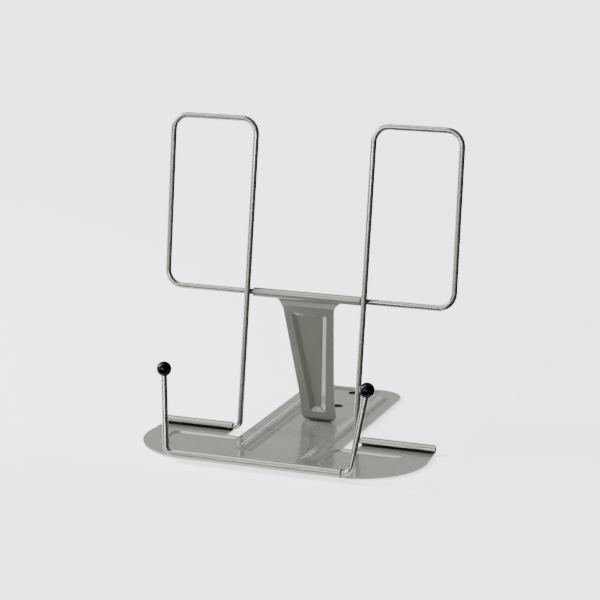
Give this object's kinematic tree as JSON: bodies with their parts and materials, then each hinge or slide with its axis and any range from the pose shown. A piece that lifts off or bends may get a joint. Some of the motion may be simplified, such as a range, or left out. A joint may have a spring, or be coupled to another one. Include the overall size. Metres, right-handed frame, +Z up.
{
  "type": "book display stand",
  "caption": "Folding pressed-steel and wire stand that holds an open book upright: wire back frame, prop leg, T-shaped base, and swinging page holder with ball tips.",
  "frame": {"origin": "on the table, in the stand's middle plane, under the back frame's hinge line", "axes": "+X to the stand's right seen from the reader's side, +Y to the rear, +Z up"},
  "size_m": [0.1978, 0.1924, 0.2016],
  "materials": {
    "sheet_paint": "glossy",
    "wire_paint": "glossy",
    "knob_black": "glossy"
  },
  "bodies": {
    "base": {"base_plate": "sheet_paint"},
    "frame": {"back_frame": "wire_paint"},
    "leg": {"support_leg": "sheet_paint"},
    "holder": {"page_holder": "wire_paint", "left_ball": "knob_black", "right_ball": "knob_black"}
  },
  "joints": [
    {"name": "frame_fold", "type": "hinge", "parent": "base", "child": "frame", "pos_m": [0, 0, 0.00395], "axis": [-1, 0, 0], "range_deg": [0, 76]},
    {"name": "leg_fold", "type": "hinge", "parent": "frame", "child": "leg", "pos_m": [0, 0.01842, 0.09009], "axis": [1, 0, 0], "range_deg": [0, 150]},
    {"name": "holder_swing", "type": "hinge", "parent": "base", "child": "holder", "pos_m": [0, -0.0695, 0.00585], "axis": [1, 0, 0], "range_deg": [-74, 105]}
  ],
  "couplings": [
    {"joint": "leg_fold", "follows": "frame_fold", "ratio": 1.97}
  ]
}
